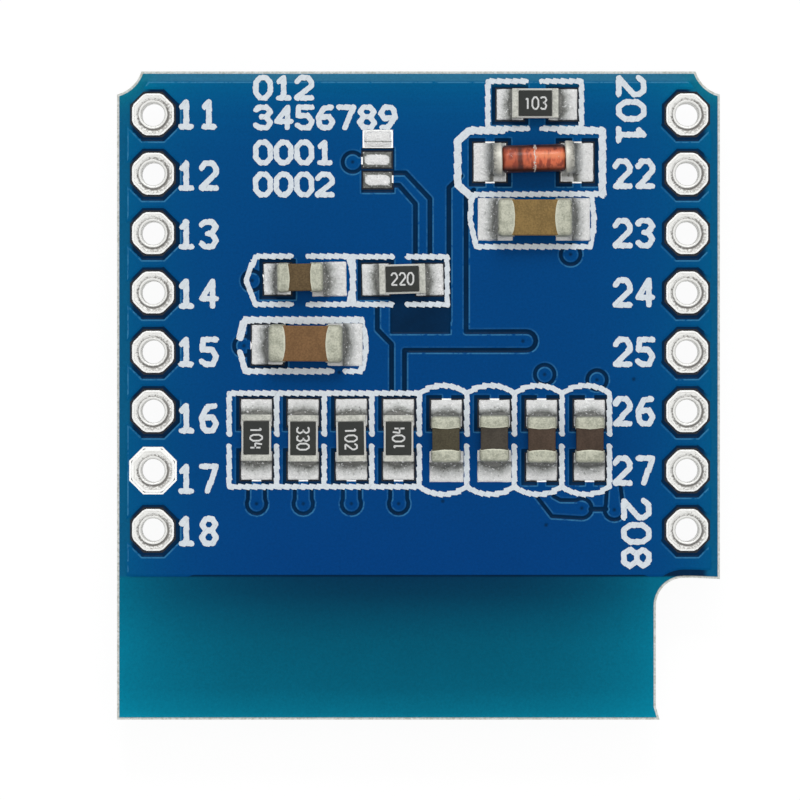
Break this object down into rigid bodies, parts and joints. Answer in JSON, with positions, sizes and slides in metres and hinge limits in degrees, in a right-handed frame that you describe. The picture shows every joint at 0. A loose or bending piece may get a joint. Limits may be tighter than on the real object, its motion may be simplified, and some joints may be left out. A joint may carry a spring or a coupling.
{
  "type": "small oled display module",
  "caption": "Small square display module: blue board with two rows of plated header holes, chip parts on its rear and a flat display on its front.",
  "frame": {"origin": "centre of the board's outline, at the outer face of the display's polariser", "axes": "+Z from the display towards the parts on the board's rear, +Y along the header rows away from the notch, +X towards the notch side"},
  "size_m": [0.0258, 0.0278, 0.0048],
  "materials": {
    "laminate": "pale glass-epoxy laminate",
    "copper_foil": "copper foil under the mask",
    "solder_mask": "deep blue translucent solder mask",
    "tinned_copper": "hot-air levelled tin",
    "ink": "white silkscreen ink",
    "solder": "reflowed solder",
    "alumina": "white alumina ceramic",
    "coat": "black glass overcoat",
    "termination": "matt tin termination",
    "tan_ceramic": "tan dielectric ceramic",
    "brown_ceramic": "brown dielectric ceramic",
    "dark_ceramic": "dark brown dielectric ceramic",
    "sleeve_glass": "clear glass sleeve",
    "stud_metal": "copper-clad studs",
    "die_silicon": "silicon die",
    "polariser_film": "dark polarising film",
    "display_glass": "thin display glass",
    "film_stack": "electrode and emitting films",
    "seal_resin": "cured edge seal",
    "getter_pad": "moisture absorber",
    "chip_silicon": "bare driver chip",
    "polyimide": "amber polyimide flex",
    "foam": "black foam tape"
  },
  "bodies": {
    "root": {"board_core": "laminate", "rear_copper": "copper_foil", "front_copper": "copper_foil", "rear_solder_mask": "solder_mask", "front_solder_mask": "solder_mask", "barrels_and_lands": "tinned_copper", "jumper_pads": "tinned_copper", "rear_silkscreen": "ink", "front_silkscreen": "ink", "resistor_solder": "solder", "capacitor_solder": "solder", "diode_solder": "solder", "diode_glass": "sleeve_glass", "diode_end_caps": "termination", "diode_studs": "stud_metal", "diode_die": "die_silicon", "polariser": "polariser_film", "base_glass": "display_glass", "emitting_films": "film_stack", "edge_seal": "seal_resin", "cap_glass": "display_glass", "getter_sheet": "getter_pad", "driver_chip": "chip_silicon", "flex_tail": "polyimide", "flex_solder": "solder", "foam_tape": "foam", "resistor_1_ceramic": "alumina", "resistor_1_coat": "coat", "resistor_1_ends": "termination", "resistor_2_ceramic": "alumina", "resistor_2_coat": "coat", "resistor_2_ends": "termination", "resistor_3_ceramic": "alumina", "resistor_3_coat": "coat", "resistor_3_ends": "termination", "resistor_4_ceramic": "alumina", "resistor_4_coat": "coat", "resistor_4_ends": "termination", "resistor_5_ceramic": "alumina", "resistor_5_coat": "coat", "resistor_5_ends": "termination", "resistor_6_ceramic": "alumina", "resistor_6_coat": "coat", "resistor_6_ends": "termination", "capacitor_1_block": "tan_ceramic", "capacitor_1_ends": "termination", "capacitor_2_block": "brown_ceramic", "capacitor_2_ends": "termination", "capacitor_3_block": "brown_ceramic", "capacitor_3_ends": "termination", "capacitor_4_block": "dark_ceramic", "capacitor_4_ends": "termination", "capacitor_5_block": "dark_ceramic", "capacitor_5_ends": "termination", "capacitor_6_block": "dark_ceramic", "capacitor_6_ends": "termination", "capacitor_7_block": "dark_ceramic", "capacitor_7_ends": "termination"}
  },
  "joints": []
}
